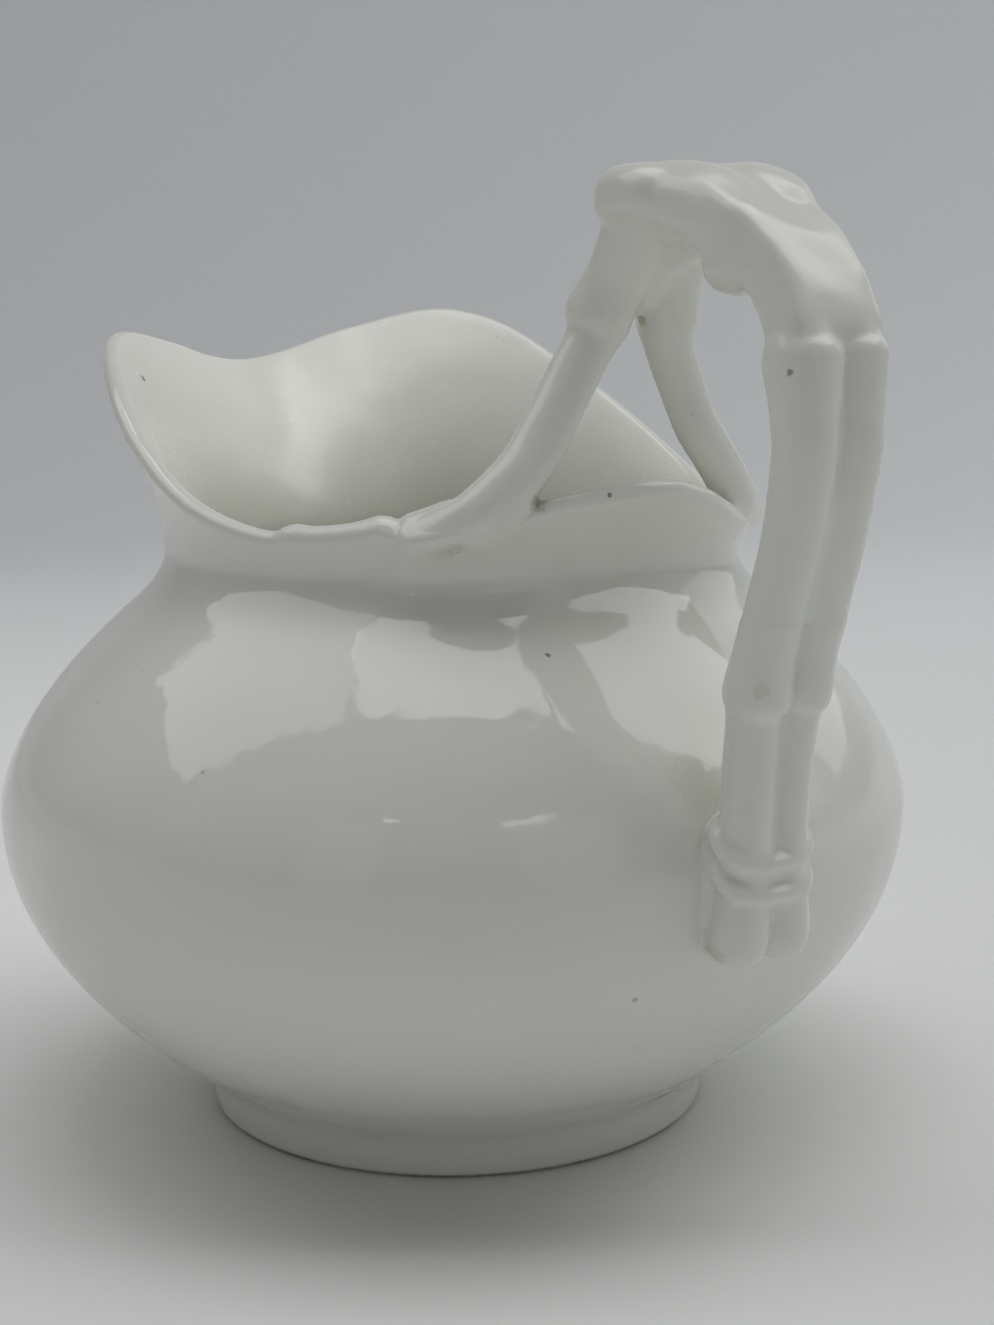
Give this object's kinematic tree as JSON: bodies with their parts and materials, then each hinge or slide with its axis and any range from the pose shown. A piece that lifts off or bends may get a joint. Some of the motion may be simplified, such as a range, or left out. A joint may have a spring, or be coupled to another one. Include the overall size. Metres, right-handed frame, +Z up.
{
  "type": "creamer",
  "caption": "Squat white glazed cream jug on a foot ring, with a wide lobed pouring mouth and a high looped handle of knotted canes that forks onto the rim and is bound to the belly.",
  "frame": {"origin": "on the table, under the middle of the whole outline; the axis of the round body is at x = -7.11 mm", "axes": "+Z up, +X towards the handle and -X towards the pouring lip, +Y completes the right-handed frame"},
  "size_m": [0.1358, 0.1198, 0.121],
  "materials": {
    "white_glaze": "clear glossy glaze over a white body, slightly uneven, with small pits",
    "bare_foot": "glazed side, with the clay bare and matt where the ring stands"
  },
  "bodies": {
    "root": {"foot_ring": "bare_foot", "belly": "white_glaze", "mouth": "white_glaze", "handle_seat": "white_glaze", "rim_twig_left": "white_glaze", "rim_twig_right": "white_glaze", "fork_cane_left": "white_glaze", "fork_cane_right": "white_glaze", "crown_cane_left": "white_glaze", "crown_cane_right": "white_glaze", "back_cane_left": "white_glaze", "back_cane_right": "white_glaze", "lower_cane_left": "white_glaze", "lower_cane_right": "white_glaze", "cane_stub_left": "white_glaze", "cane_stub_right": "white_glaze", "upper_band": "white_glaze", "lower_band": "white_glaze"}
  },
  "joints": []
}
